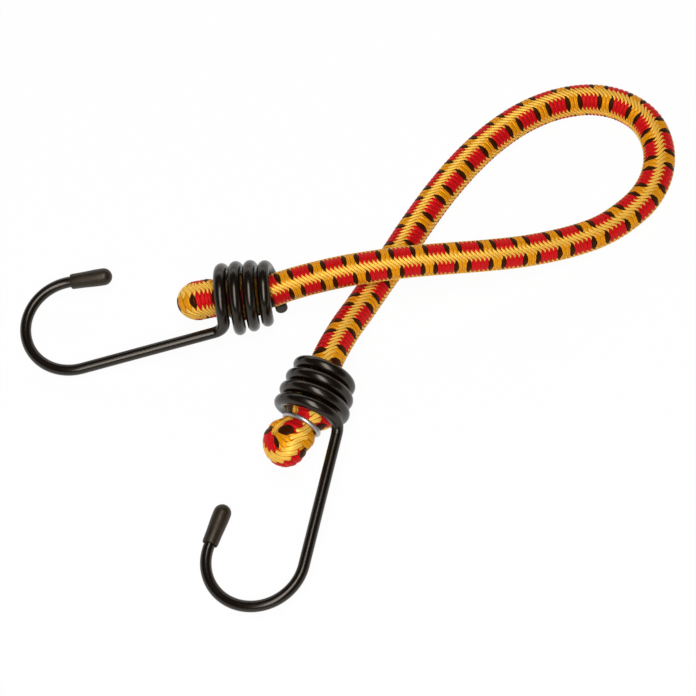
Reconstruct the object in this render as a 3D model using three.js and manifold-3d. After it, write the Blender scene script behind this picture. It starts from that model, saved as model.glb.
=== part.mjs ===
import * as THREE from 'three';
import { mergeVertices } from 'three/addons/utils/BufferGeometryUtils.js';
import Module from 'manifold-3d';

// A bungee cord with a wire hook at each end, lying on the ground in one loose loop.
// Millimetres and degrees, +Z up, the ground at z = 0.
const clearance = 0.3; // left between pieces that touch

// The cord: a braided sheath over a bundle of rubber strands.
const cordDiameter = 10;
const cordLying = 0.4; // height of the cord's centre on the ground, in cord diameters
const sheathWall = 1.5;
const outerStrands = 6; // laid round one middle strand
const strandGap = 0.2; // between neighbouring strands
const strandReach = 1.5; // from the middle to the outside of an outer strand, in strand diameters
const lengthSamples = 1600; // along a path, to space its sections evenly
const cordSteps = 48;
const cordSides = 12;
const strandSides = 5;

// The hook: one wire wound into a coil that narrows toward the cord, then kinked out into a
// straight shank, a round bend and a tip.
const wireDiameter = 3.6;
const coilTurns = 3.82;
const coilPitch = 4.6;
const coilTaper = 2.4; // power by which the coil narrows
const coilEndGap = 1; // between the last turn and the plain cord
const kinkTurn = 0.07; // share of a turn where the wire leaves the coil
const kinkReach = 4; // from the coil's mouth to the straight shank
const kinkPull = 2.6; // how sharply the kink turns
const shankStep = 0.2; // how far the shank stands outside the coil's own circle
const shankLength = 47.3;
const shankLean = 4.9; // away from the coil's axis
const bendRadius = 15.6;
const bendAngle = 187.2;
const tipLength = 13.8; // straight, to the end of the cap
const wireSteps = 150;
const wireSides = 8;

// The soft cap over the hook's tip.
const capLength = 13.5;
const capEndWall = 1.5;
const capMouthWall = 0.4;
const capBulge = 0.3; // thicker near the rounded end
const capRounding = 5;
const capSides = 14;

// The doubled end of the cord, too wide to pull through the coil.
const foldSqueeze = 0.79; // radius of the two legs together, in cord diameters
const foldSlit = 0.5; // between the legs
const bulbWidth = 0.63; // half the width of the turn, in cord diameters
const neckWidth = 0.48; // half the width under the crimp ring, in cord diameters
const neckSpan = 4; // over which the neck widens on either side
const ringFromTurn = 14.8; // from the far end of the turn to the crimp ring
const tailFromCord = 4.3; // from the plain cord's end to the tail's
const sheathEntry = 4; // how far the plain cord reaches into the coil
const leanTilt = 0.5; // share of the lean's slope by which its sections tilt
const foldSides = 14;
const foldTurnSteps = 9;

// The crimp ring, left open at its joint.
const ringWire = 1.4;
const ringPlay = 0.6; // the ring stands inside the legs' radius by this
const ringArc = 336;
const ringSteps = 22;
const ringSides = 6;

// Where each hook lies: its coil's mouth, the way it points, its dip to the ground and its roll. The
// doubled end is rolled too, reaches past the mouth and leans away from the shank; lie is how far the
// plain cord lies off the coil's axis where it leaves the coil.
const ends = {
  a: {
    x: 11.1,
    y: 45.2,
    settle: 0.5,
    heading: -172.5,
    dip: 8.3,
    roll: -5.3,
    foldRoll: -30,
    reach: 14.2,
    lean: 1.8,
    leanFrom: -6,
    leanTo: 4,
    lie: 0.8,
  },
  b: {
    x: 39.4,
    y: 2.85,
    settle: 0.5,
    heading: -107.9,
    dip: 6.9,
    roll: 10.3,
    foldRoll: -55,
    reach: 17.7,
    lean: 4.8,
    leanFrom: -2.5,
    leanTo: 12.5,
    lie: 0.4,
  },
};

// The line of the cord from end a to end b, with the rise off the ground in cord diameters.
const route = [
  [36.3, 50.4, 1.07],
  [48.9, 53.3, 1.18],
  [59.6, 55, 1.25],
  [71.6, 57, 1.22],
  [84.6, 59.2, 1.07],
  [97.5, 61.9, 0.83],
  [110.5, 65.4, 0.56],
  [123.5, 70.2, 0.3],
  [134, 75.3, 0.14],
  [142.2, 81.4, 0.05],
  [149.8, 89.5, 0],
  [154.6, 99.5, 0],
  [155.4, 110.6, 0],
  [151.8, 120.3, 0],
  [144.5, 126.5, 0],
  [135.1, 129.1, 0],
  [123.7, 127.7, 0],
  [112.7, 122.9, 0],
  [102.4, 115.3, 0],
  [92.4, 105, 0],
  [82.8, 92.3, 0],
  [74, 78.4, 0],
  [67.1, 66.1, 0.04],
  [60.6, 54.5, 0.16],
  [55.1, 43.8, 0.42],
  [50.5, 35, 0.65],
];

const wireRadius = wireDiameter / 2;
const cordRadius = cordDiameter / 2;
const foldRadius = foldSqueeze * cordDiameter;
const coilMouth = foldRadius + clearance + wireRadius;
const coilEnd = cordRadius + coilEndGap + wireRadius;
const coilLength = coilTurns * coilPitch;
const bulbHeight = foldRadius;
const neckHeight = foldRadius - ringPlay - ringWire - clearance;

const radians = THREE.MathUtils.degToRad;
const smooth = (value) => THREE.MathUtils.smoothstep(value, 0, 1);

function coilRadius(turn) {
  return coilMouth - (coilMouth - coilEnd) * Math.pow(turn / coilTurns, coilTaper);
}

// Free radius inside the coil at a distance along its axis, the mouth at 0 and the cord on the
// negative side.
function boreRadius(along) {
  const turn = THREE.MathUtils.clamp((wireRadius - along) / coilPitch, 0, coilTurns);
  return coilRadius(turn) - wireRadius;
}

function circle(radius, sides, middle = new THREE.Vector2()) {
  const points = [];
  for (let k = 0; k < sides; k++) {
    const angle = (2 * Math.PI * k) / sides;
    points.push(new THREE.Vector2(radius * Math.cos(angle), radius * Math.sin(angle)).add(middle));
  }
  return points;
}

function tube(path, steps, outline, bore = null) {
  const shape = new THREE.Shape(outline);
  if (bore) {
    shape.holes.push(new THREE.Path(bore));
  }
  return new THREE.ExtrudeGeometry(shape, { steps, extrudePath: path, bevelEnabled: false });
}

// One skin over a row of closed rings, with a flat at each end.
function loft(rings) {
  const count = rings[0].length;
  const last = (rings.length - 1) * count;
  const index = [];
  for (let row = 0; row < last; row += count) {
    for (let k = 0; k < count; k++) {
      const here = row + k;
      const next = row + ((k + 1) % count);
      index.push(here, next, next + count);
      index.push(here, next + count, here + count);
    }
  }
  for (let k = 1; k < count - 1; k++) {
    index.push(0, k + 1, k);
    index.push(last, last + k, last + k + 1);
  }
  const geometry = new THREE.BufferGeometry().setFromPoints(rings.flat());
  geometry.setIndex(index);
  geometry.computeVertexNormals();
  return geometry;
}

// The coil from its cut end to the kink, its mouth at the origin and its axis along X.
class CoilCurve extends THREE.Curve {
  getPoint(share, target = new THREE.Vector3()) {
    const turn = coilTurns + (kinkTurn - coilTurns) * share;
    const angle = 2 * Math.PI * turn;
    const radius = coilRadius(turn);
    return target.set(-coilPitch * turn, radius * Math.cos(angle), radius * Math.sin(angle));
  }
}

class BendCurve extends THREE.Curve {
  constructor(middle) {
    super();
    this.middle = middle;
  }
  getPoint(share, target = new THREE.Vector3()) {
    const angle = radians(90 + shankLean - bendAngle * share);
    target.set(Math.cos(angle), Math.sin(angle), 0);
    return target.multiplyScalar(bendRadius).add(this.middle);
  }
}

class RingCurve extends THREE.Curve {
  constructor(along) {
    super();
    this.along = along;
  }
  getPoint(share, target = new THREE.Vector3()) {
    const angle = radians(ringArc * (share - 0.5) + 90);
    const grip = clearance + ringWire / 2;
    const width = neckWidth * cordDiameter + grip;
    const height = neckHeight + grip;
    return target.set(this.along, width * Math.cos(angle), height * Math.sin(angle));
  }
}

const leanWay = new THREE.Vector3(Math.cos(radians(shankLean)), Math.sin(radians(shankLean)), 0);
const tipTurn = radians(shankLean - bendAngle);
const tipWay = new THREE.Vector3(Math.cos(tipTurn), Math.sin(tipTurn), 0);
const shankRoot = new THREE.Vector3(0, coilMouth + shankStep, 0);
const shankStart = shankRoot.clone().addScaledVector(leanWay, kinkReach);
const shankEnd = shankRoot.clone().addScaledVector(leanWay, shankLength);
const bendSide = new THREE.Vector3(leanWay.y, -leanWay.x, 0);
const bendMiddle = shankEnd.clone().addScaledVector(bendSide, bendRadius);
const bendCurve = new BendCurve(bendMiddle);
const tipStart = bendCurve.getPoint(1);
const capTip = tipStart.clone().addScaledVector(tipWay, tipLength);
const wireTip = capTip.clone().addScaledVector(tipWay, -capEndWall - clearance);

function wirePath() {
  const coil = new CoilCurve();
  const kinkStart = coil.getPoint(1);
  const kinkWay = coil.getTangent(1);
  const path = new THREE.CurvePath();
  path.add(coil);
  path.add(
    new THREE.CubicBezierCurve3(
      kinkStart,
      kinkStart.clone().addScaledVector(kinkWay, kinkPull),
      shankStart.clone().addScaledVector(leanWay, -kinkPull),
      shankStart,
    ),
  );
  path.add(new THREE.LineCurve3(shankStart, shankEnd));
  path.add(bendCurve);
  path.add(new THREE.LineCurve3(tipStart, wireTip));
  for (const curve of path.curves) {
    curve.arcLengthDivisions = lengthSamples;
  }
  path.arcLengthDivisions = lengthSamples;
  return path;
}

// The cap turned about its own axis, its open end on the tip's side of the bend.
function capGeometry() {
  const bore = wireRadius + clearance;
  const bulge = bore + capMouthWall + capBulge;
  const profile = [new THREE.Vector2(0, capLength)];
  for (let k = capRounding - 1; k >= 0; k--) {
    const angle = (Math.PI / 2) * (k / capRounding);
    profile.push(new THREE.Vector2(bulge * Math.cos(angle), capLength - bulge * (1 - Math.sin(angle))));
  }
  profile.push(new THREE.Vector2(bore + capMouthWall, 0));
  profile.push(new THREE.Vector2(bore, 0));
  profile.push(new THREE.Vector2(bore, capLength - capEndWall));
  profile.push(new THREE.Vector2(0, capLength - capEndWall));
  const geometry = new THREE.LatheGeometry(profile.reverse(), capSides);
  const turn = new THREE.Quaternion().setFromUnitVectors(new THREE.Vector3(0, 1, 0), tipWay);
  const place = capTip.clone().addScaledVector(tipWay, -capLength);
  geometry.applyQuaternion(turn);
  geometry.translate(place.x, place.y, place.z);
  return geometry;
}

// How far the doubled end leans over at a distance along the coil's axis.
function leanAt(end, along) {
  return end.lean * smooth((along - end.leanFrom) / (end.leanTo - end.leanFrom));
}

function leanSlope(end, along) {
  const span = end.leanTo - end.leanFrom;
  const share = THREE.MathUtils.clamp((along - end.leanFrom) / span, 0, 1);
  return (end.lean * 6 * share * (1 - share)) / span;
}

// Leans a piece of the doubled end away from the shank, all of the turn by the same amount.
function leanOver(geometry, end) {
  const position = geometry.attributes.position;
  const point = new THREE.Vector3();
  for (let k = 0; k < position.count; k++) {
    point.fromBufferAttribute(position, k);
    const along = Math.min(point.x, end.reach - bulbHeight);
    const tilt = leanTilt * leanSlope(end, along);
    position.setXYZ(k, point.x + tilt * point.y, point.y - leanAt(end, along), point.z);
  }
  return geometry;
}

// The doubled end, along X with one leg above the other: the cord comes in round, flattens
// against its own tail inside the coil, is drawn in at the ring and turns back as a bulb.
function foldGeometry(end) {
  const ringAt = end.reach - ringFromTurn;
  const turnAt = end.reach - bulbHeight;
  const cordAt = sheathEntry - coilLength + clearance;
  const tailAt = cordAt + tailFromCord;

  function half(along, neck, bulb) {
    const bundle = Math.min(foldRadius, boreRadius(along) - clearance - leanAt(end, along));
    const wide = along > ringAt ? bulb : bundle;
    return neck + (wide - neck) * smooth(Math.abs(along - ringAt) / neckSpan);
  }

  function section(along, turn) {
    const width = half(along, neckWidth * cordDiameter, bulbWidth * cordDiameter);
    const height = half(along, neckHeight, bulbHeight);
    const pressed = turn > 0 ? 1 : smooth((along - cordAt) / (tailAt - cordAt));
    const points = [];
    for (let k = 0; k < foldSides; k++) {
      const angle = (2 * Math.PI * k) / foldSides;
      const across = THREE.MathUtils.lerp(cordRadius, width, pressed) * Math.cos(angle);
      const outer = Math.max(foldSlit / 2, height * Math.sin(angle));
      const away = THREE.MathUtils.lerp(cordRadius * Math.sin(angle), outer, pressed);
      points.push(new THREE.Vector3(along + away * Math.sin(turn), across, away * Math.cos(turn)));
    }
    return points;
  }

  const stations = [];
  const mainSteps = 12;
  const tailSteps = 8;
  for (let k = 0; k < mainSteps; k++) {
    stations.push([cordAt + ((turnAt - cordAt) * k) / mainSteps, 0]);
  }
  for (let k = 0; k <= foldTurnSteps; k++) {
    stations.push([turnAt, (Math.PI * k) / foldTurnSteps]);
  }
  for (let k = 1; k <= tailSteps; k++) {
    stations.push([turnAt + ((tailAt - turnAt) * k) / tailSteps, Math.PI]);
  }
  return loft(stations.map(([along, turn]) => section(along, turn)));
}

// The frame of one end: X out of the coil's mouth, Z up as far as the dip allows.
function endFrame(end, roll) {
  const heading = radians(end.heading);
  const dip = radians(end.dip);
  const out = new THREE.Vector3(
    Math.cos(dip) * Math.cos(heading),
    Math.cos(dip) * Math.sin(heading),
    -Math.sin(dip),
  );
  const up = new THREE.Vector3(0, 0, 1).addScaledVector(out, -out.z).normalize();
  const side = new THREE.Vector3().crossVectors(up, out);
  const height = coilMouth + wireRadius - end.settle;
  return new THREE.Matrix4()
    .makeBasis(out, side, up)
    .setPosition(end.x, end.y, height)
    .multiply(new THREE.Matrix4().makeRotationX(radians(roll)));
}

function cordPath() {
  const leaving = (end) => {
    const entry = new THREE.Vector3(sheathEntry - coilLength, 0, 0);
    const halfway = new THREE.Vector3(sheathEntry / 2 - coilLength, 0, 0);
    const outside = new THREE.Vector3(-sheathEntry / 2 - coilLength, -end.lie, 0);
    return [entry, halfway, outside].map((point) => point.applyMatrix4(endFrame(end, 0)));
  };
  const lying = route.map(([x, y, rise]) => new THREE.Vector3(x, y, (cordLying + rise) * cordDiameter));
  const points = [...leaving(ends.a), ...lying, ...leaving(ends.b).reverse()];
  const path = new THREE.CatmullRomCurve3(points);
  path.arcLengthDivisions = lengthSamples;
  return path;
}

// Least gap of a wound tube to itself, between points farther apart along it than the given length.
function leastGap(path, diameter, apart) {
  const length = path.getLength();
  const count = Math.round((8 * length) / diameter);
  const points = path.getSpacedPoints(count);
  const skip = Math.ceil((apart * count) / length);
  let least = Infinity;
  for (let i = 0; i < points.length; i++) {
    for (let j = i + skip; j < points.length; j++) {
      least = Math.min(least, points[i].distanceTo(points[j]));
    }
  }
  return least - diameter;
}

const wasm = await Module();
wasm.setup();

function toSolid(geometry) {
  const bare = geometry.clone();
  bare.deleteAttribute('normal');
  bare.deleteAttribute('uv');
  const merged = mergeVertices(bare);
  return new wasm.Manifold(
    new wasm.Mesh({
      numProp: 3,
      vertProperties: Float32Array.from(merged.attributes.position.array),
      triVerts: Uint32Array.from(merged.index.array),
    }),
  );
}

function fromSolid(solid) {
  const mesh = solid.getMesh();
  const geometry = new THREE.BufferGeometry();
  geometry.setAttribute('position', new THREE.BufferAttribute(Float32Array.from(mesh.vertProperties), 3));
  geometry.setIndex(Array.from(mesh.triVerts));
  geometry.computeVertexNormals();
  return geometry;
}

// The soft cord is pressed flat where it lies on the ground.
function pressedOnGround(geometry) {
  const box = new THREE.Box3().setFromBufferAttribute(geometry.attributes.position);
  const size = box.getSize(new THREE.Vector3()).addScalar(cordDiameter);
  const middle = box.getCenter(new THREE.Vector3());
  const ground = new THREE.BoxGeometry(size.x, size.y, cordDiameter);
  ground.translate(middle.x, middle.y, -cordDiameter / 2);
  return fromSolid(toSolid(geometry).subtract(toSolid(ground)));
}

const group = new THREE.Group();
group.name = 'bungee_cord';

function addPiece(name, geometry, look) {
  const mesh = new THREE.Mesh(geometry, new THREE.MeshStandardMaterial(look));
  mesh.name = name;
  group.add(mesh);
}

const sheathLook = { color: 0xe3a92c, roughness: 0.7, metalness: 0 };
const rubberLook = { color: 0xcdb68a, roughness: 0.8, metalness: 0 };
const wireLook = { color: 0x241c18, roughness: 0.35, metalness: 0.2 };
const capLook = { color: 0x3b332f, roughness: 0.75, metalness: 0 };
const ringLook = { color: 0xc4c6c8, roughness: 0.25, metalness: 1 };

const cord = cordPath();
const boreInside = cordRadius - sheathWall;
const sheath = tube(cord, cordSteps, circle(cordRadius, cordSides), circle(boreInside, cordSides));
addPiece('braided_sheath', pressedOnGround(sheath), sheathLook);

const strandRoom = boreInside * Math.cos(Math.PI / cordSides) - clearance;
const strandDiameter = (strandRoom - strandGap) / strandReach;
for (let k = 0; k <= outerStrands; k++) {
  const angle = (2 * Math.PI * k) / outerStrands;
  const off = k === 0 ? 0 : strandDiameter + strandGap;
  const middle = new THREE.Vector2(off * Math.cos(angle), off * Math.sin(angle));
  const outline = circle(strandDiameter / 2, strandSides, middle);
  addPiece(`rubber_strand_${k + 1}`, tube(cord, cordSteps, outline), rubberLook);
}

for (const [letter, end] of Object.entries(ends)) {
  const hookFrame = endFrame(end, end.roll);
  const foldFrame = endFrame(end, 0);
  const foldRoll = new THREE.Matrix4().makeRotationX(radians(end.foldRoll));
  const fold = leanOver(foldGeometry(end).applyMatrix4(foldRoll), end);
  const wire = tube(wirePath(), wireSteps, circle(wireRadius, wireSides));
  const ring = tube(new RingCurve(end.reach - ringFromTurn), ringSteps, circle(ringWire / 2, ringSides));
  const crimp = leanOver(ring.applyMatrix4(foldRoll), end);
  addPiece(`folded_end_${letter}`, fold.applyMatrix4(foldFrame), sheathLook);
  addPiece(`crimp_ring_${letter}`, crimp.applyMatrix4(foldFrame), ringLook);
  addPiece(`hook_wire_${letter}`, wire.applyMatrix4(hookFrame), wireLook);
  addPiece(`tip_cap_${letter}`, capGeometry().applyMatrix4(hookFrame), capLook);
}

const cordGap = leastGap(cord, cordDiameter, 3 * cordDiameter);
const wireGap = leastGap(wirePath(), wireDiameter, 6 * wireDiameter);
console.log('least gap of the cord to itself', cordGap.toFixed(2));
console.log('least gap of the wire to itself', wireGap.toFixed(2));

export default group;
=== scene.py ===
import math

import bmesh
import bpy
import numpy as np
from mathutils import Matrix, Vector


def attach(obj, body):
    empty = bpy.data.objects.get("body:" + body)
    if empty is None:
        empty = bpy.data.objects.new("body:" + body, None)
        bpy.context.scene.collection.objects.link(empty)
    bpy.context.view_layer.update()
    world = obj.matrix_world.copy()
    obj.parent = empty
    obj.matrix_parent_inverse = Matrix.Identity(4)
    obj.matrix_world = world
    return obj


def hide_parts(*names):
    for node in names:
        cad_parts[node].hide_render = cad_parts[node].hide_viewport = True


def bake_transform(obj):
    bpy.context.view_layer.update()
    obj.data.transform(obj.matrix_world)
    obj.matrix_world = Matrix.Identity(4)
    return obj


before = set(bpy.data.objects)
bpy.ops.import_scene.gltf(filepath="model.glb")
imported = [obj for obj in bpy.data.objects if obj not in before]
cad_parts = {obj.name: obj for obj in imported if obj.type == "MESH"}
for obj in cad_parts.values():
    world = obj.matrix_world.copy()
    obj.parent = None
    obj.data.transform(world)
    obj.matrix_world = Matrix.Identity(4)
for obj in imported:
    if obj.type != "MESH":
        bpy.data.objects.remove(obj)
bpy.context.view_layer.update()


# The view
# The cord lies on a white ground and is seen from sixty degrees above it, through a
# long lens that keeps both hooks almost at one scale.
look_at = Vector((0.0516, 0.0344, 0.0))
view_height = math.radians(60)
view_distance = 0.8144
camera = bpy.data.objects.new("camera", bpy.data.cameras.new("camera"))
camera.data.sensor_width = 36.0
camera.data.lens = 131.07
camera.data.clip_start = 0.01
camera.location = look_at + view_distance * Vector((0, -math.cos(view_height), math.sin(view_height)))
camera.rotation_euler = (math.pi / 2 - view_height, 0, 0)
bpy.context.collection.objects.link(camera)
bpy.context.scene.camera = camera
bpy.context.scene.view_settings.view_transform = "Standard"


# The braided sheath
# A tube of sixteen yarns braided two over two under round the rubber: eight turn one way in
# black, red and yellow, eight the other way in yellow alone. One length from end to end; it
# goes over itself once and is pressed flat where it lies on the ground.
cord_width = 0.010
yarn_crown = 0.00515  # from the cord's middle to the crowns of its floats
sheath_wall = 0.0015
relief_depth = 0.00046
ground = 0.00003
bore_ground = 0.0005
free_height = 0.0055  # of the cord's middle, above which the ground doesn't press it
pressed_over = 0.0015
pressed_spread = 0.03
cut_back = 0.0004
rubbed_from = 0.0035  # painted shade: the sheath is darkened this close to its ends, inside the coil
rubbed_fade = 0.0015
split_along_a = 0.108
split_along_b = 0.232

ends = {
    "a": {"mouth": (0.0111, 0.0452, 0.0113), "heading": -172.5, "dip": 8.3, "lie": 0.0008},
    "b": {"mouth": (0.0394, 0.00285, 0.0113), "heading": -107.9, "dip": 6.9, "lie": 0.0004},
}
coil_length = 0.017572
sheath_entry = 0.004

route = [
    (0.0363, 0.0504, 0.0147), (0.0489, 0.0533, 0.0158), (0.0596, 0.0550, 0.0165),
    (0.0716, 0.0570, 0.0162), (0.0846, 0.0592, 0.0147), (0.0975, 0.0619, 0.0123),
    (0.1105, 0.0654, 0.0096), (0.1235, 0.0702, 0.0070), (0.1340, 0.0753, 0.0054),
    (0.1422, 0.0814, 0.0045), (0.1498, 0.0895, 0.0040), (0.1546, 0.0995, 0.0040),
    (0.1554, 0.1106, 0.0040), (0.1518, 0.1203, 0.0040), (0.1445, 0.1265, 0.0040),
    (0.1351, 0.1291, 0.0040), (0.1237, 0.1277, 0.0040), (0.1127, 0.1229, 0.0040),
    (0.1024, 0.1153, 0.0040), (0.0924, 0.1050, 0.0040), (0.0828, 0.0923, 0.0040),
    (0.0740, 0.0784, 0.0040), (0.0671, 0.0661, 0.0044), (0.0606, 0.0545, 0.0056),
    (0.0551, 0.0438, 0.0082), (0.0505, 0.0350, 0.0105),
]


def end_frame(end, roll=0.0):
    """X out of the coil's mouth, Z up as far as the dip allows, Y to the shank's side."""
    heading, dip = math.radians(end["heading"]), math.radians(end["dip"])
    out = Vector((math.cos(dip) * math.cos(heading), math.cos(dip) * math.sin(heading), -math.sin(dip)))
    up = (Vector((0, 0, 1)) - out * out.z).normalized()
    axes = Matrix((out, up.cross(out), up)).transposed().to_4x4()
    return Matrix.Translation(end["mouth"]) @ axes @ Matrix.Rotation(math.radians(roll), 4, "X")


def smooth_line(points, steps=40):
    """A smooth line through the points, with even speed past close and wide ones."""
    p = np.array(points, float)
    p = np.vstack([2 * p[0] - p[1], p, 2 * p[-1] - p[-2]])
    t = np.linspace(0, 1, steps, endpoint=False)[:, None]
    line = []
    for before, here, there, after in zip(p, p[1:], p[2:], p[3:]):
        pairs = ((before, here), (here, there), (there, after))
        d0, d1, d2 = (np.linalg.norm(y - x) ** 0.5 for x, y in pairs)
        leave = ((here - before) / d0 - (there - before) / (d0 + d1) + (there - here) / d1) * d1
        arrive = ((there - here) / d1 - (after - here) / (d1 + d2) + (after - there) / d2) * d1
        line.append((2 * t**3 - 3 * t**2 + 1) * here + (t**3 - 2 * t**2 + t) * leave
                    + (3 * t**2 - 2 * t**3) * there + (t**3 - t**2) * arrive)
    return np.vstack(line + [p[-2:-1]])


def leaving(end):
    """The cord's line where it comes out of the narrow end of the coil."""
    steps = ((sheath_entry - coil_length, 0), (sheath_entry / 2 - coil_length, 0),
             (-sheath_entry / 2 - coil_length, -end["lie"]))
    return [tuple(end_frame(end) @ Vector((x, y, 0))) for x, y in steps]


def up_and_right(way):
    """The two directions across a line that goes that way at each of its points."""
    way = way / np.linalg.norm(way, axis=1)[:, None]
    up = np.array([0, 0, 1.0]) - way * way[:, 2:]
    up /= np.linalg.norm(up, axis=1)[:, None]
    return up, np.cross(way, up)


cord_line = smooth_line(leaving(ends["a"]) + route + leaving(ends["b"])[::-1])
cord_along = np.concatenate([[0], np.cumsum(np.linalg.norm(np.diff(cord_line, axis=0), axis=1))])
cord_length = float(cord_along[-1])
cord_up, cord_right = up_and_right(np.gradient(cord_line, cord_along, axis=0))


def on_line(values, along):
    return np.stack([np.interp(along, cord_along, values[:, k]) for k in range(3)], axis=-1)


def eased(x):
    x = np.clip(x, 0, 1)
    return x * x * (3 - 2 * x)


# Floats of the braid counted along the cord: it is a little longer in some places than in others.
# It also turns round the cord, by so many degrees, most of all in the loop.
lay_along = np.array([-0.0120, 0.0130, 0.0650, 0.0850, 0.1040, 0.1560, 0.2080, 0.2600, 0.3120, 0.3590])
lay_floats = np.array([-15.8, 2.8, 41.4, 55.2, 67.9, 100.1, 134.6, 168.1, 200.9, 229.7])
turned_along = np.array([0, 0.078, 0.117, 0.143, 0.160, 0.172, 0.195, 0.221, 0.247, 0.265, 0.312, 0.343])
turned_by = np.array([-16, -16, -26, -37, -51, -47, -41, -43, -38, -35, -50, -50])
lanes = 8
lane_angle = 360 / lanes
columns = 112
rows_per_float = 8
straightened = 2  # floats over which the rows straighten towards a cut end
broad = 0.665  # half the broad lanes' width, the narrow ones have what is left
lean = 0.15  # floats by which one runs ahead over a broad lane, the narrow ones make up a whole one
lean_between = (1 - lean * broad) / (1 - broad)
interlock = 0.25
drawn_loss = 0.5  # share of the interlock that goes where the braid is drawn open
crown_power = 0.4
crease_height = 0.25
border_height = 0.45
border_width = 0.25


def from_broad(lane):
    """How far round the braid from the middle of the nearest broad lane."""
    return np.mod(lane + 0.5, 2) - 1


def lean_of(lane):
    """How far the floats run ahead along the cord from the middle of the nearest broad lane."""
    off = from_broad(lane)
    return np.sign(off) * np.maximum(lean * np.abs(off), 1 + lean_between * (np.abs(off) - 1))


def crown(x):
    return 1 - (2 * np.mod(x, 1) - 1) ** 2


def float_height(lane, run, drawn=0.0, narrowed=0.0):
    """Height of the braid's surface, 0 in the creases between floats and 1 on their crowns."""
    level = run - lean_of(lane)
    one, other = crown(level), crown(level + 0.5)
    tooth = interlock * (1 - drawn_loss * drawn) * (one - other)
    over = broad - narrowed - np.abs(from_broad(lane)) + tooth
    round_top = crease_height + (1 - crease_height) * np.where(over > 0, one, other) ** crown_power
    return round_top * (border_height + (1 - border_height) * eased(np.abs(over) / border_width))


def on_cord(lane, run, inside=False):
    """Where a place in the braid lies, on the yarns or on the wall of the bore inside."""
    along = np.interp(run, lay_floats, lay_along)
    turned = np.interp(along, turned_along, turned_by)
    angle = np.radians((lane - 0.5) * lane_angle + turned)[..., None]
    middle = on_line(cord_line, along)
    if inside:
        radius = np.full_like(angle, cord_width / 2 - sheath_wall)
    else:
        radius = (yarn_crown - relief_depth * (1 - float_height(lane, run)))[..., None]
    spread_out = 1 + pressed_spread * eased((free_height - middle[..., 2:]) / pressed_over)
    point = middle + radius * (np.cos(angle) * on_line(cord_up, along)
                               + spread_out * np.sin(angle) * on_line(cord_right, along))
    point[..., 2] = np.maximum(point[..., 2], bore_ground if inside else ground)
    return point


def braid_rows(first, last, flat_first, flat_last):
    """Lane and run of each vertex: rows that follow the broad lanes' floats, straight at a cut end."""
    count = round(abs(last - first) * rows_per_float)
    row = np.linspace(first, last, count + 1)[:, None]
    lane = np.linspace(0, lanes, columns, endpoint=False)[None, :]
    off = from_broad(lane)
    bend = lean * np.sign(off) * np.minimum(np.abs(off), broad * (1 - np.abs(off)) / (1 - broad))
    free = np.ones_like(row)
    if flat_first:
        free = free * eased(np.abs(row - first) / straightened)
    if flat_last:
        free = free * eased(np.abs(row - last) / straightened)
    return np.broadcast_to(lane, (count + 1, columns)), row + free * bend


def put_in_scene(name, mesh):
    mesh.polygons.foreach_set("use_smooth", [True] * len(mesh.polygons))
    piece = bpy.data.objects.new(name, mesh)
    bpy.context.collection.objects.link(piece)
    return piece


def skin(name, points, lane, run, closed, **shares):
    """A mesh over rows of points; closed joins the last row to the first, else each end gets a flat."""
    rows, around = points.shape[:2]
    index = np.arange(rows * around).reshape(rows, around)
    ahead = np.roll(index, -1, axis=0) if closed else index[1:]
    here = index if closed else index[:-1]
    quads = np.stack([here, np.roll(here, -1, 1), np.roll(ahead, -1, 1), ahead], axis=-1).reshape(-1, 4)
    faces = quads.tolist()
    if not closed:
        faces += [index[0][::-1].tolist(), index[-1].tolist()]
    mesh = bpy.data.meshes.new(name)
    mesh.from_pydata(points.reshape(-1, 3).tolist(), [], faces)
    wrapped = np.where(np.arange(around) == around - 1, lanes, 0)
    flat_lane, flat_run = lane.reshape(-1), run.reshape(-1)
    seam = np.zeros(quads.shape)
    seam[:, 1] = seam[:, 2] = np.broadcast_to(wrapped, here.shape).reshape(-1)
    uv = np.stack([flat_lane[quads] + seam, flat_run[quads]], axis=-1).reshape(-1, 2)
    if not closed:
        ends_index = np.concatenate([index[0][::-1], index[-1]])
        uv = np.vstack([uv, np.stack([flat_lane[ends_index], flat_run[ends_index]], axis=-1)])
    uv_layer = mesh.uv_layers.new(name="braid")
    uv_layer.uv.foreach_set("vector", uv.astype(np.float32).reshape(-1))
    for share, values in shares.items():
        layer = mesh.attributes.new(share, "FLOAT", "POINT")
        layer.data.foreach_set("value", values.astype(np.float32).reshape(-1))
    return put_in_scene(name, mesh)


def new_material(name):
    material = bpy.data.materials.new(name)
    material.use_nodes = True
    return material, material.node_tree, material.node_tree.nodes["Principled BSDF"]


def put(tree, socket, value):
    if isinstance(value, bpy.types.NodeSocket):
        tree.links.new(value, socket)
    else:
        socket.default_value = value


def calc(tree, operation, *values):
    node = tree.nodes.new("ShaderNodeMath")
    node.operation = operation
    for socket, value in zip(node.inputs, values):
        put(tree, socket, value)
    return node.outputs[0]


def spread(tree, value, low, high, to_low=0.0, to_high=1.0, smooth=False):
    node = tree.nodes.new("ShaderNodeMapRange")
    node.interpolation_type = "SMOOTHSTEP" if smooth else "LINEAR"
    for socket, given in zip(node.inputs, (value, low, high, to_low, to_high)):
        put(tree, socket, given)
    return node.outputs[0]


def tint(tree, share, first, second, blend="MIX"):
    node = tree.nodes.new("ShaderNodeMix")
    node.data_type = "RGBA"
    node.blend_type = blend
    put(tree, node.inputs[0], share)
    put(tree, node.inputs[6], first)
    put(tree, node.inputs[7], second)
    return node.outputs[2]


def speckle(tree, where, scale, detail=2.0, roughness=0.5):
    node = tree.nodes.new("ShaderNodeTexNoise")
    tree.links.new(where, node.inputs["Vector"])
    node.inputs["Scale"].default_value = scale
    node.inputs["Detail"].default_value = detail
    node.inputs["Roughness"].default_value = roughness
    return node.outputs["Fac"]


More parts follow.
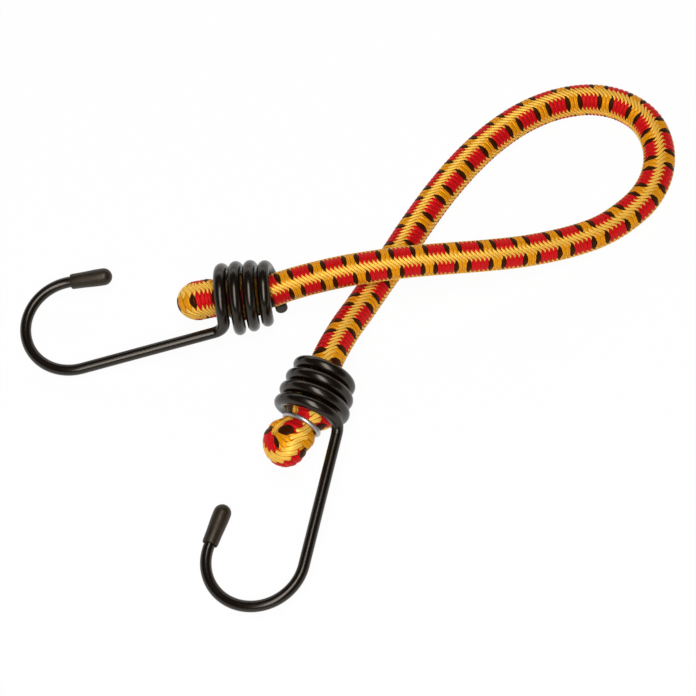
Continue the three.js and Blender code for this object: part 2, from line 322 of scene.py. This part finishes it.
def raise_surface(tree, shader, height, strength, distance):
    node = tree.nodes.new("ShaderNodeBump")
    node.inputs["Strength"].default_value = strength
    node.inputs["Distance"].default_value = distance
    tree.links.new(height, node.inputs["Height"])
    tree.links.new(node.outputs["Normal"], shader.inputs["Normal"])


yellow_yarn = (1.0, 0.575, 0.085, 1)
golden_yarn = (0.83, 0.318, 0.006, 1)
red_yarn = (0.655, 0.0065, 0.0105, 1)
black_yarn = (0.040, 0.008, 0.001, 1)
# painted shade: darker, warmer tint for the creases between floats
crease_shade_tint = (0.86, 0.66, 0.45, 1)
# painted shade: near-black for the yarn where the coil closes over it
rubbed_yarn = (0.010, 0.006, 0.004, 1)
mark_period = 8.0  # floats from one stretch of red to the next
red_length = 5.0
black_half = 0.62
black_slimming = 0.42
drawn_slimming = 0.5


def share_of(tree, name):
    """A share that the mesh carries at its vertices."""
    node = tree.nodes.new("ShaderNodeAttribute")
    node.attribute_name = name
    return node.outputs["Fac"]


def crowned(tree, value):
    """The crown of a float, as crown() gives it for the mesh."""
    from_middle = calc(tree, "MULTIPLY_ADD", calc(tree, "FRACT", value), 2.0, -1.0)
    return calc(tree, "MULTIPLY_ADD", calc(tree, "MULTIPLY", from_middle, from_middle), -1.0, 1.0)


def upper(tree, on_top, one, other):
    """The first value where the marked yarn is on top, the second where the yellow one is."""
    under = calc(tree, "SUBTRACT", 1.0, on_top)
    return calc(tree, "ADD", calc(tree, "MULTIPLY", one, on_top), calc(tree, "MULTIPLY", other, under))


def weave(tree):
    """The mesh's braid again in nodes: where a float lies, which yarn is on top, and how high."""
    place = tree.nodes.new("ShaderNodeUVMap")
    place.uv_map = "braid"
    parts = tree.nodes.new("ShaderNodeSeparateXYZ")
    tree.links.new(place.outputs["UV"], parts.inputs[0])
    lane, run = parts.outputs["X"], parts.outputs["Y"]
    off = calc(tree, "SUBTRACT", calc(tree, "FLOORED_MODULO", calc(tree, "ADD", lane, 0.5), 2.0), 1.0)
    far = calc(tree, "ABSOLUTE", off)
    ahead = calc(tree, "MAXIMUM", calc(tree, "MULTIPLY", far, lean),
                 calc(tree, "MULTIPLY_ADD", far, lean_between, 1 - lean_between))
    level = calc(tree, "SUBTRACT", run, calc(tree, "MULTIPLY", calc(tree, "SIGN", off), ahead))
    half_on = calc(tree, "ADD", level, 0.5)
    one, other = crowned(tree, level), crowned(tree, half_on)
    drawn = share_of(tree, "drawn")
    half_lane = calc(tree, "SUBTRACT", broad, share_of(tree, "narrowed"))
    tooth = calc(tree, "MULTIPLY", calc(tree, "SUBTRACT", one, other),
                 calc(tree, "MULTIPLY_ADD", drawn, -drawn_loss * interlock, interlock))
    over = calc(tree, "ADD", calc(tree, "SUBTRACT", half_lane, far), tooth)
    on_top = calc(tree, "GREATER_THAN", over, 0.0)
    round_top = calc(tree, "POWER", upper(tree, on_top, one, other), crown_power)
    edge = spread(tree, calc(tree, "ABSOLUTE", over), 0.0, 0.2, smooth=True)
    return {
        "where": place.outputs["UV"], "lane": lane, "level": level, "drawn": drawn, "on_top": on_top,
        "middle": calc(tree, "ROUND", calc(tree, "SUBTRACT", calc(tree, "SUBTRACT", lane, 0.5), off)),
        "across_lane": calc(tree, "DIVIDE", far, half_lane),
        "across_float": upper(tree, on_top, calc(tree, "FRACT", level), calc(tree, "FRACT", half_on)),
        "height": calc(tree, "MULTIPLY", round_top, calc(tree, "MULTIPLY_ADD", edge, 0.6, 0.4)),
    }


def yarn_colour(tree, braid):
    """Yellow one way round; the other way golden, with stretches of red between two black marks."""
    own_level = calc(tree, "SUBTRACT", calc(tree, "SUBTRACT", braid["level"], braid["middle"]), 0.5)
    past_black = calc(tree, "FLOORED_MODULO", own_level, mark_period)
    from_first = calc(tree, "MINIMUM", past_black, calc(tree, "SUBTRACT", mark_period, past_black))
    from_second = calc(tree, "ABSOLUTE", calc(tree, "SUBTRACT", past_black, red_length))
    from_black = calc(tree, "MINIMUM", from_second, from_first)
    slim = calc(tree, "MULTIPLY", calc(tree, "POWER", braid["across_lane"], 2.0),
                calc(tree, "MULTIPLY_ADD", braid["drawn"], drawn_slimming, black_slimming))
    black = calc(tree, "LESS_THAN", calc(tree, "ADD", from_black, slim), black_half)
    colour = tint(tree, calc(tree, "LESS_THAN", past_black, red_length), golden_yarn, red_yarn)
    return tint(tree, braid["on_top"], yellow_yarn, tint(tree, black, colour, black_yarn))


def braid_material():
    material, tree, shader = new_material("braided_yarn")
    braid = weave(tree)
    height = braid["height"]
    grain = tree.nodes.new("ShaderNodeCombineXYZ")
    put(tree, grain.inputs[0], calc(tree, "MULTIPLY", braid["lane"], 1.4))
    put(tree, grain.inputs[1], calc(tree, "MULTIPLY", braid["level"], 7.0))
    filament = speckle(tree, grain.outputs[0], 1.0)
    blotch = speckle(tree, braid["where"], 0.9)
    plies = calc(tree, "MULTIPLY_ADD", braid["across_float"], math.tau, blotch)
    plies = calc(tree, "ABSOLUTE", calc(tree, "SINE", plies))
    uneven = calc(tree, "MULTIPLY_ADD", filament, 0.7, calc(tree, "MULTIPLY", blotch, 0.3))
    # painted shade: darker in the grooves between plies and, below, in the creases between floats; times a
    # random tone from filament and blotch noise
    shade = calc(tree, "MULTIPLY", spread(tree, plies, 0.0, 0.8, 0.72, 1.10, smooth=True),
                 spread(tree, uneven, 0.3, 0.7, 0.78, 1.20))
    shade = calc(tree, "MULTIPLY", spread(tree, height, 0.0, 0.8, 0.62, 1.0, smooth=True), shade)
    colour = yarn_colour(tree, braid)
    # painted shade: the creases between floats take a darker, warmer tint
    crease_shaded = tint(tree, 1.0, colour, crease_shade_tint, "MULTIPLY")
    colour = tint(tree, spread(tree, height, 0.1, 0.7, smooth=True), crease_shaded, colour)
    colour = tint(tree, 1.0, colour, tint(tree, shade, (0, 0, 0, 1), (1, 1, 1, 1)), "MULTIPLY")
    # painted shade: the yarn darkens to near-black where the coil closes over it
    colour = tint(tree, calc(tree, "MULTIPLY", share_of(tree, "rubbed"), 0.85), colour, rubbed_yarn)
    tree.links.new(colour, shader.inputs["Base Color"])
    tree.links.new(spread(tree, filament, 0.3, 0.7, 0.36, 0.50), shader.inputs["Roughness"])
    shader.inputs["Metallic"].default_value = 0.26
    shader.inputs["Specular IOR Level"].default_value = 0.10
    shader.inputs["Specular Tint"].default_value = (1.0, 0.78, 0.45, 1)
    relief = calc(tree, "MULTIPLY_ADD", filament, 0.5, calc(tree, "MULTIPLY", plies, 0.6))
    raise_surface(tree, shader, relief, 0.7, 0.00014)
    return material


yarn = braid_material()
run_from, split_a, split_b, run_to = np.interp(
    (cut_back, split_along_a, split_along_b, cord_length - cut_back), lay_along, lay_floats).tolist()
split_a, split_b = round(split_a), round(split_b)
strands = ["rubber_strand_%d" % k for k in range(1, 8)]


def sheath(name, first, last, cut_first, cut_last):
    """One stretch of the sheath, with its bore; an end that isn't cut meets the next stretch."""
    lane, run = braid_rows(first, last, cut_first, cut_last)
    outer = on_cord(lane, run)
    bore_rows = np.unique(np.concatenate([np.arange(0, len(run), 10), [len(run) - 1]]))[::-1]
    bore = on_cord(lane[bore_rows], run[bore_rows], inside=True)
    run = np.vstack([run, run[bore_rows]])
    along = np.interp(run, lay_floats, lay_along)
    # painted shade on the sheath inside the coil, near each end
    rubbed = eased((rubbed_from - np.minimum(along, cord_length - along)) / rubbed_fade)
    piece = skin(name, np.vstack([outer, bore]), np.vstack([lane, lane[bore_rows]]), run, True,
                 rubbed=rubbed, drawn=np.zeros_like(rubbed), narrowed=np.zeros_like(rubbed))
    piece.data.materials.append(yarn)
    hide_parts("braided_sheath")
    return piece


def stretch_points(first, last):
    """Points on the cord's own line, between two places in the braid's run."""
    low, high = np.interp([first, last], lay_floats, lay_along)
    return on_line(cord_line, np.linspace(max(low, 0), min(high, cord_length), 60))


sheath_a = sheath("sheath_run_a", run_from, split_a, True, False)
sheath_loop = sheath("sheath_loop", split_a, split_b, False, False)
sheath_b = sheath("sheath_run_b", split_b, run_to, False, True)
line_a, line_loop, line_b = (stretch_points(*ab) for ab in
                             ((run_from, split_a), (split_a, split_b), (split_b, run_to)))


# The rubber core
# Seven strands of natural rubber run side by side through the sheath from fold to fold. They
# are what stretches, and are held only by the braid's grip.
strand_width = 0.00192
strand_ring = 0.00212


def rubber_material():
    material, tree, shader = new_material("natural_rubber")
    place = tree.nodes.new("ShaderNodeTexCoord").outputs["Object"]
    cloud = speckle(tree, place, 260.0, 3.0)
    colour = tint(tree, cloud, (0.50, 0.38, 0.20, 1), (0.70, 0.57, 0.34, 1))
    tree.links.new(colour, shader.inputs["Base Color"])
    tree.links.new(spread(tree, cloud, 0.2, 0.8, 0.6, 0.85), shader.inputs["Roughness"])
    raise_surface(tree, shader, speckle(tree, place, 3000.0), 0.2, 0.00005)
    return material


rubber = rubber_material()


def core(name, line):
    """Seven strands along one stretch of the cord, swept with a bevelled curve and made a mesh."""
    curve = bpy.data.curves.new(name, "CURVE")
    curve.dimensions = "3D"
    curve.bevel_depth = strand_width / 2
    curve.bevel_resolution = 2
    curve.use_fill_caps = True
    up, right = up_and_right(np.gradient(line, axis=0))
    for k in range(len(strands)):
        angle, off = math.tau * k / (len(strands) - 1), 0.0 if k == 0 else strand_ring
        points = line + off * (math.cos(angle) * up + math.sin(angle) * right)
        spline = curve.splines.new("POLY")
        spline.points.add(len(points) - 1)
        spline.points.foreach_set("co", np.column_stack([points, np.ones(len(points))]).reshape(-1))
    swept = bpy.data.objects.new(name + ".line", curve)
    bpy.context.collection.objects.link(swept)
    bpy.context.view_layer.update()
    mesh = bpy.data.meshes.new_from_object(swept.evaluated_get(bpy.context.evaluated_depsgraph_get()))
    bpy.data.objects.remove(swept)
    mesh.materials.clear()
    mesh.materials.append(rubber)
    piece = put_in_scene(name, mesh)
    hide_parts(*strands)
    return piece


core_a = core("rubber_run_a", line_a)
core_loop = core("rubber_loop", line_loop)
core_b = core("rubber_run_b", line_b)

for piece in (sheath_a, core_a):
    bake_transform(piece)
for piece in (sheath_loop, core_loop):
    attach(piece, "cord")
for piece in (sheath_b, core_b):
    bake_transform(piece)


# The folded ends
# Each end of the cord is turned back on itself: inside the coil the two legs press flat
# against each other, the crimp ring draws them in, and the turn stands out as a bulb that
# is too wide to pull through. The braid is drawn longer over the outside of the turn.
legs_radius = 0.0079
legs_slit = 0.0005
bulb_width = 0.0063
bulb_height = legs_radius
neck_width = 0.0048
neck_height = 0.0056
neck_span = 0.004
leg_edge = 0.32  # how softly the legs are rounded towards the slit
fold_relief = 0.9 * relief_depth
slit_relief = 0.25  # share of the relief that is left in the slit
turn_fade = 0.6
legs_shade_from = -0.0012  # along the coil's axis; deeper in the coil than this the legs are darkened, painted shade
legs_shade_fade = 0.0012
ring_from_turn = 0.0148
tail_from_cord = 0.0015
clearance = 0.0003
cord_play = 0.0010
wire_width = 0.0036
coil_turns = 3.82
coil_pitch = 0.0046
coil_taper = 2.4
coil_mouth = legs_radius + clearance + wire_width / 2
coil_end = cord_width / 2 + cord_play + wire_width / 2

ends["a"].update(fold_roll=-30, reach=0.0142, lean=0.0018, lean_from=-0.006, lean_to=0.004)
ends["b"].update(fold_roll=-55, reach=0.0177, lean=0.0048, lean_from=-0.0025, lean_to=0.0125)
# The lane on the outside of the turn, how much the braid is drawn open there, by how much half a
# broad lane is narrowed, and the braid's run by the distance from where the fold begins.
ends["a"].update(lane_outside=0.45, drawn=0.1, narrowed=0.17,
                 fold_along=(0, 0.0125, 0.016, 0.019, 0.022, 0.025, 0.029, 0.032, 0.0444, 0.07),
                 fold_run=(-7.9, -16.6, -19.9, -22.1, -23.8, -25.0, -26.0, -27.1, -35, -53))
ends["b"].update(lane_outside=0.95, drawn=1.0, narrowed=0.07,
                 fold_along=(0, 0.012, 0.038, 0.066, 0.08), fold_run=(-12, -3.6, 4.6, 13.2, 23))


def coil_radius(turn):
    return coil_mouth - (coil_mouth - coil_end) * np.power(turn / coil_turns, coil_taper)


def lean_at(end, along):
    return end["lean"] * eased((along - end["lean_from"]) / (end["lean_to"] - end["lean_from"]))


def into_end(end, points):
    """Rolls and leans points of a folded end as it sits in the coil, and puts them in place."""
    roll = math.radians(end["fold_roll"])
    x, y, z = points[..., 0], points[..., 1], points[..., 2]
    y, z = y * math.cos(roll) - z * math.sin(roll), y * math.sin(roll) + z * math.cos(roll)
    along = np.minimum(x, end["reach"] - bulb_height)
    span = end["lean_to"] - end["lean_from"]
    share = np.clip((along - end["lean_from"]) / span, 0, 1)
    slope = end["lean"] * 6 * share * (1 - share) / span
    x = x + 0.5 * y * slope
    y = y - lean_at(end, along)
    place = np.array(end_frame(end))
    return np.stack([x, y, z], axis=-1) @ place[:3, :3].T + place[:3, 3]


def half_section(end, along):
    """Half the width and half the height of the fold: the bulb, its neck in the ring, and the legs."""
    bore = coil_radius(np.clip((wire_width / 2 - along) / coil_pitch, 0, coil_turns)) - wire_width / 2
    legs = np.minimum(legs_radius, bore - clearance - lean_at(end, along))
    ring_at = end["reach"] - ring_from_turn
    from_ring = eased(np.abs(along - ring_at) / neck_span)
    outside = along > ring_at
    width = neck_width + (np.where(outside, bulb_width, legs) - neck_width) * from_ring
    height = neck_height + (np.where(outside, bulb_height, legs) - neck_height) * from_ring
    return width, height


def fold(letter):
    """The cord's end from inside the coil, round the turn and back: round first, then pressed flat."""
    end = ends[letter]
    turn_at = end["reach"] - bulb_height
    cord_at = sheath_entry - coil_length + clearance
    tail_at = cord_at + tail_from_cord
    main = turn_at - cord_at
    total = main + math.pi * bulb_height + turn_at - tail_at
    first, last = np.interp([0, total], end["fold_along"], end["fold_run"])
    lane, run = braid_rows(first, last, True, True)
    order = np.argsort(end["fold_run"])
    way = np.interp(run, np.array(end["fold_run"])[order], np.array(end["fold_along"])[order])
    turn = np.clip((way - main) / bulb_height, 0, math.pi)
    back = turn_at - (way - main - math.pi * bulb_height)
    along = np.where(way < main, cord_at + way, np.where(turn < math.pi, turn_at, back))
    travel = 1 if letter == "b" else -1
    angle = math.pi / 2 + travel * np.radians((lane - end["lane_outside"]) * lane_angle)
    outward = np.sin(angle)

    width, height = half_section(end, along)
    pressed = np.where(turn > 0, 1, eased((along - cord_at) / (tail_at - cord_at)))
    rise = (outward + np.sqrt(outward**2 + leg_edge**2)) / (1 + math.sqrt(1 + leg_edge**2))
    in_turn = eased(0.5 + np.minimum(turn, math.pi - turn) / turn_fade)
    drawn, narrowed = end["drawn"] * in_turn, end["narrowed"] * in_turn
    shown = slit_relief + (1 - slit_relief) * eased(outward + 0.6)
    sunk = fold_relief * (1 - float_height(lane, run, drawn, narrowed)) * shown
    half_cord = cord_width / 2
    across = (half_cord + (width - half_cord) * pressed - sunk) * np.cos(angle)
    pressed_rise = legs_slit / 2 + (height - legs_slit / 2) * rise - sunk * np.maximum(0, outward)
    away = (half_cord - sunk) * outward * (1 - pressed) + pressed_rise * pressed
    points = np.stack([along + away * np.sin(turn), across, away * np.cos(turn)], axis=-1)
    # painted shade on the legs where they lie deep in the coil
    rubbed = np.where(turn > 0, 0, eased((legs_shade_from - along) / legs_shade_fade))
    if travel < 0:
        points, lane, run, rubbed, drawn, narrowed = (
            rows[::-1] for rows in (points, lane, run, rubbed, drawn, narrowed))
    piece = skin("folded_cord_" + letter, into_end(end, points), lane, run, False,
                 rubbed=rubbed, drawn=drawn, narrowed=narrowed)
    piece.data.materials.append(yarn)
    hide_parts("folded_end_" + letter)
    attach(piece, "cord_end_" + letter)


fold("a")
fold("b")


# The crimp rings
# A length of bright zinc-plated wire, closed round the two legs of each fold with pliers. Its
# two cut ends almost meet.
ring_wire = 0.0017
ring_arc = math.radians(336)
ring_bite = 0.0004  # by which the ring presses into the legs
ring_steps = 72
ring_sides = 20
ring_rounding = 0.0001


def finished(name, bm):
    mesh = bpy.data.meshes.new(name)
    bm.to_mesh(mesh)
    bm.free()
    return put_in_scene(name, mesh)


def sweep(name, points, radii, sides, rounding):
    """A round wire along a line: one ring drawn out step by step, its cut ends filled and eased."""
    points = [Vector(p) for p in points]
    last = len(points) - 1
    ways = [(points[min(k + 1, last)] - points[max(k - 1, 0)]).normalized() for k in range(last + 1)]
    bm = bmesh.new()
    facing = Vector((0, 0, 1)).rotation_difference(ways[0]).to_matrix().to_4x4()
    place = Matrix.Translation(points[0]) @ facing
    bmesh.ops.create_circle(bm, segments=sides, radius=radii[0], matrix=place)
    first = edges = list(bm.edges)
    for k in range(1, last + 1):
        drawn = bmesh.ops.extrude_edge_only(bm, edges=edges)["geom"]
        ring = [item for item in drawn if isinstance(item, bmesh.types.BMVert)]
        lines = [item for item in drawn if isinstance(item, bmesh.types.BMEdge)]
        edges = [line for line in lines if set(ring).issuperset(line.verts)]
        bmesh.ops.translate(bm, verts=ring, vec=points[k] - points[k - 1])
        turn = ways[k - 1].rotation_difference(ways[k]).to_matrix()
        bmesh.ops.rotate(bm, verts=ring, cent=points[k], matrix=turn)
        wider = radii[k] / radii[k - 1]
        bmesh.ops.scale(bm, verts=ring, vec=(wider, wider, wider), space=Matrix.Translation(-points[k]))
    for rim in (first, edges):
        bmesh.ops.contextual_create(bm, geom=rim)
    bmesh.ops.recalc_face_normals(bm, faces=bm.faces)
    bmesh.ops.bevel(bm, geom=first + edges, offset=rounding, segments=3, affect="EDGES",
                    profile=0.5, material=-1)
    return finished(name, bm)


def zinc_material():
    material, tree, shader = new_material("bright_zinc")
    place = tree.nodes.new("ShaderNodeTexCoord").outputs["Object"]
    cloud = speckle(tree, place, 700.0, 3.0)
    grain = speckle(tree, place, 5200.0, 2.0)
    colour = tint(tree, cloud, (0.40, 0.395, 0.38, 1), (0.58, 0.575, 0.56, 1))
    colour = tint(tree, spread(tree, grain, 0.62, 0.75, 0.0, 0.3), colour, (0.25, 0.23, 0.21, 1))
    tree.links.new(colour, shader.inputs["Base Color"])
    shader.inputs["Metallic"].default_value = 1.0
    tree.links.new(spread(tree, cloud, 0.3, 0.7, 0.38, 0.50), shader.inputs["Roughness"])
    raise_surface(tree, shader, grain, 0.06, 0.00005)
    return material


zinc = zinc_material()
for letter, end in ends.items():
    out = ring_wire / 2 - ring_bite
    turns = ring_arc * (np.linspace(0, 1, ring_steps + 1) - 0.5) + math.pi / 2
    flat = np.stack([np.full_like(turns, end["reach"] - ring_from_turn), (neck_width + out) * np.cos(turns),
                     (neck_height + out) * np.sin(turns)], axis=-1)
    radii = np.full(len(flat), ring_wire / 2)
    ring_piece = sweep("crimp_wire_" + letter, into_end(end, flat), radii, ring_sides, ring_rounding)
    ring_piece.data.materials.append(zinc)
    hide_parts("crimp_ring_" + letter)
    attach(ring_piece, "cord_end_" + letter)


# The hooks
# One length of steel wire each, coated brown-black: wound into a coil that narrows onto the
# cord, kinked out into a straight shank and bent round into the hook. The coil holds the fold,
# and the coating has run together on it, so that the wire is thicker there.
coated_coil = 0.0040
end_flare = 0.0006
flare_turns = 0.4
kink_turn = 0.07
kink_reach = 0.004
kink_pull = 0.0026
root_step = 0.0002
shank_length = 0.0473
shank_lean = math.radians(4.9)
bend_radius = 0.0156
bend_angle = math.radians(187.2)
tip_length = 0.0138
cap_end_wall = 0.0015
coil_steps, kink_steps, shank_steps, bend_steps, tip_steps = 169, 17, 8, 65, 3
wire_sides = 24
wire_rounding = 0.00035
ends["a"]["roll"] = -5.3
ends["b"]["roll"] = 10.3

shank_way = np.array([math.cos(shank_lean), math.sin(shank_lean), 0])
tip_way = np.array([math.cos(shank_lean - bend_angle), math.sin(shank_lean - bend_angle), 0])
shank_root = np.array([0, coil_mouth + root_step, 0])
shank_start = shank_root + kink_reach * shank_way
shank_end = shank_root + shank_length * shank_way
bend_middle = shank_end + bend_radius * np.array([shank_way[1], -shank_way[0], 0])


def coil_point(turn):
    turn = np.asarray(turn, float)
    radius = coil_radius(turn)
    along = -coil_pitch * turn - end_flare * eased((turn - coil_turns + flare_turns) / flare_turns)
    return np.stack([along, radius * np.cos(math.tau * turn), radius * np.sin(math.tau * turn)], axis=-1)


def steps_to_one(count):
    return np.linspace(0, 1, count + 1)[1:, None]


wound = coil_point(np.linspace(coil_turns, kink_turn, coil_steps + 1))
leave_way = wound[-1] - coil_point(kink_turn + 0.002)
leave_way /= np.linalg.norm(leave_way)
t = steps_to_one(kink_steps)
kink = ((1 - t) ** 3 * wound[-1] + 3 * t * (1 - t) ** 2 * (wound[-1] + kink_pull * leave_way)
        + 3 * t**2 * (1 - t) * (shank_start - kink_pull * shank_way) + t**3 * shank_start)
straight = shank_start + steps_to_one(shank_steps) * (shank_end - shank_start)
swing = math.pi / 2 + shank_lean - bend_angle * steps_to_one(bend_steps)[:, 0]
bend = bend_middle + bend_radius * np.stack([np.cos(swing), np.sin(swing), 0 * swing], axis=-1)
cap_tip = bend[-1] + tip_length * tip_way
wire_tip = cap_tip - (cap_end_wall + clearance) * tip_way
tip = bend[-1] + steps_to_one(tip_steps) * (wire_tip - bend[-1])
wire_line = np.vstack([wound, kink, straight, bend, tip])
past_coil = eased((np.arange(len(wire_line)) - len(wound)) / len(kink))
wire_radii = (coated_coil + (wire_width - coated_coil) * past_coil) / 2


def coated_wire_material():
    material, tree, shader = new_material("coated_wire")
    place = tree.nodes.new("ShaderNodeTexCoord").outputs["Object"]
    cloud = speckle(tree, place, 180.0, 3.0)
    grain = speckle(tree, place, 2600.0, 3.0, 0.6)
    colour = tint(tree, cloud, (0.0030, 0.0012, 0.0004, 1), (0.0055, 0.0028, 0.0010, 1))
    colour = tint(tree, spread(tree, grain, 0.68, 0.82, 0.0, 0.3), colour, (0.06, 0.05, 0.04, 1))
    tree.links.new(colour, shader.inputs["Base Color"])
    tree.links.new(spread(tree, cloud, 0.3, 0.7, 0.22, 0.27), shader.inputs["Roughness"])
    shader.inputs["Specular IOR Level"].default_value = 0.50
    shader.inputs["Specular Tint"].default_value = (1.0, 0.90, 0.78, 1)
    raise_surface(tree, shader, cloud, 0.05, 0.0002)
    return material


coated_wire = coated_wire_material()
for letter, end in ends.items():
    place = np.array(end_frame(end, end["roll"]))
    line = wire_line @ place[:3, :3].T + place[:3, 3]
    hook = sweep("hook_rod_" + letter, line, wire_radii, wire_sides, wire_rounding)
    hook.data.materials.append(coated_wire)
    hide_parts("hook_wire_" + letter)
    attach(hook, "hook_" + letter)


# The tip caps
# A soft vinyl sleeve, dipped so that its closed end is round and a little thicker, pushed over
# the hook's tip so that it can't scratch or snag.
cap_length = 0.0135
cap_bore = wire_width / 2 + clearance
cap_mouth = cap_bore + 0.0004
cap_bulge = cap_mouth + 0.0003
cap_swell = cap_mouth + 0.00008
swell_from, bulge_from = 0.3 * cap_length, 0.62 * cap_length
round_steps = 8
spin_steps = 40


def vinyl_material():
    material, tree, shader = new_material("soft_vinyl")
    place = tree.nodes.new("ShaderNodeTexCoord").outputs["Object"]
    cloud = speckle(tree, place, 230.0, 4.0)
    grain = speckle(tree, place, 3400.0, 2.0)
    colour = tint(tree, cloud, (0.0105, 0.0068, 0.0034, 1), (0.022, 0.0155, 0.0086, 1))
    colour = tint(tree, spread(tree, grain, 0.60, 0.78, 0.0, 0.25), colour, (0.09, 0.08, 0.065, 1))
    tree.links.new(colour, shader.inputs["Base Color"])
    tree.links.new(spread(tree, cloud, 0.3, 0.7, 0.36, 0.48), shader.inputs["Roughness"])
    shader.inputs["Specular IOR Level"].default_value = 0.40
    shader.inputs["Specular Tint"].default_value = (1.0, 0.88, 0.74, 1)
    raise_surface(tree, shader, grain, 0.25, 0.00008)
    return material


def cap(letter):
    """The wall's outline turned about the tip's axis, with a rounded lip at the mouth."""
    bm = bmesh.new()
    outline = [(0, cap_length)]
    for k in range(1, round_steps + 1):
        angle = math.pi / 2 * (1 - k / round_steps)
        outline.append((cap_bulge * math.cos(angle), cap_length - cap_bulge * (1 - math.sin(angle))))
    outline += [(cap_bulge, bulge_from), (cap_swell, swell_from), (cap_mouth, 0.0006),
                (cap_mouth - 0.0001, 0.00012), (cap_mouth - 0.00025, 0.0), (cap_bore + 0.0001, 0.00006),
                (cap_bore, 0.0003), (cap_bore, cap_length - cap_end_wall), (0, cap_length - cap_end_wall)]
    wall = [bm.verts.new((x, 0, z)) for x, z in outline]
    lines = [bm.edges.new(pair) for pair in zip(wall, wall[1:])]
    bmesh.ops.spin(bm, geom=wall + lines, cent=(0, 0, 0), axis=(0, 0, 1), angle=math.tau,
                   steps=spin_steps, use_merge=True)
    bmesh.ops.remove_doubles(bm, verts=bm.verts, dist=1e-6)
    bmesh.ops.recalc_face_normals(bm, faces=bm.faces)
    along_tip = Vector((0, 0, 1)).rotation_difference(Vector(tip_way)).to_matrix().to_4x4()
    place = Matrix.Translation(Vector(cap_tip - cap_length * tip_way)) @ along_tip
    bmesh.ops.transform(bm, matrix=end_frame(ends[letter], ends[letter]["roll"]) @ place, verts=bm.verts)
    return finished("tip_sleeve_" + letter, bm)


vinyl = vinyl_material()
for letter in ends:
    sleeve = cap(letter)
    sleeve.data.materials.append(vinyl)
    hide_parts("tip_cap_" + letter)
    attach(sleeve, "hook_" + letter)


# The ground and the light
# A white table with white walls round it and a dim ceiling, under a long soft box that hangs in
# front of the cord, over the viewer, and a weak low one behind the table.
table_half = 3.0
table_glow = 0.96  # share of plain white where the table is seen, what is left takes the shadow
wall_top, ceiling_from = 0.10, 0.26
wall_light, ceiling_light = 1.0, 0.06

bm = bmesh.new()
bmesh.ops.create_grid(bm, x_segments=1, y_segments=1, size=table_half)
table = finished("table", bm)


def white_material():
    material, tree, shader = new_material("white_table")
    shader.inputs["Base Color"].default_value = (0.90, 0.90, 0.90, 1)
    shader.inputs["Roughness"].default_value = 0.9
    glow = tree.nodes.new("ShaderNodeEmission")
    ray = tree.nodes.new("ShaderNodeLightPath")
    seen = calc(tree, "MAXIMUM", ray.outputs["Is Camera Ray"],
                calc(tree, "MAXIMUM", ray.outputs["Is Glossy Ray"], ray.outputs["Is Transmission Ray"]))
    both = tree.nodes.new("ShaderNodeMixShader")
    tree.links.new(calc(tree, "MULTIPLY", seen, table_glow), both.inputs[0])
    tree.links.new(shader.outputs[0], both.inputs[1])
    tree.links.new(glow.outputs[0], both.inputs[2])
    tree.links.new(both.outputs[0], tree.nodes["Material Output"].inputs["Surface"])
    return material


table.data.materials.append(white_material())

world = bpy.data.worlds.new("studio")
world.use_nodes = True
bpy.context.scene.world = world
sky = world.node_tree
backdrop = sky.nodes["Background"]
backdrop.inputs["Color"].default_value = (1, 1, 1, 1)
way_up = sky.nodes.new("ShaderNodeSeparateXYZ")
sky.links.new(sky.nodes.new("ShaderNodeTexCoord").outputs["Generated"], way_up.inputs[0])
dimmed = spread(sky, way_up.outputs["Z"], wall_top, ceiling_from, wall_light, ceiling_light, smooth=True)
sky.links.new(dimmed, backdrop.inputs["Strength"])


def soft_box(name, place, size, power):
    lamp = bpy.data.lights.new(name, "AREA")
    lamp.shape = "RECTANGLE"
    lamp.size, lamp.size_y = size
    lamp.energy = power
    stand = bpy.data.objects.new(name, lamp)
    stand.location = place
    stand.rotation_euler = (look_at - Vector(place)).to_track_quat("-Z", "Y").to_euler()
    bpy.context.collection.objects.link(stand)


soft_box("box_above", (0.0, -0.33, 0.91), (0.38, 1.25), 11.2)
soft_box("box_behind", (0.05, 1.10, 0.46), (1.60, 0.30), 2.6)
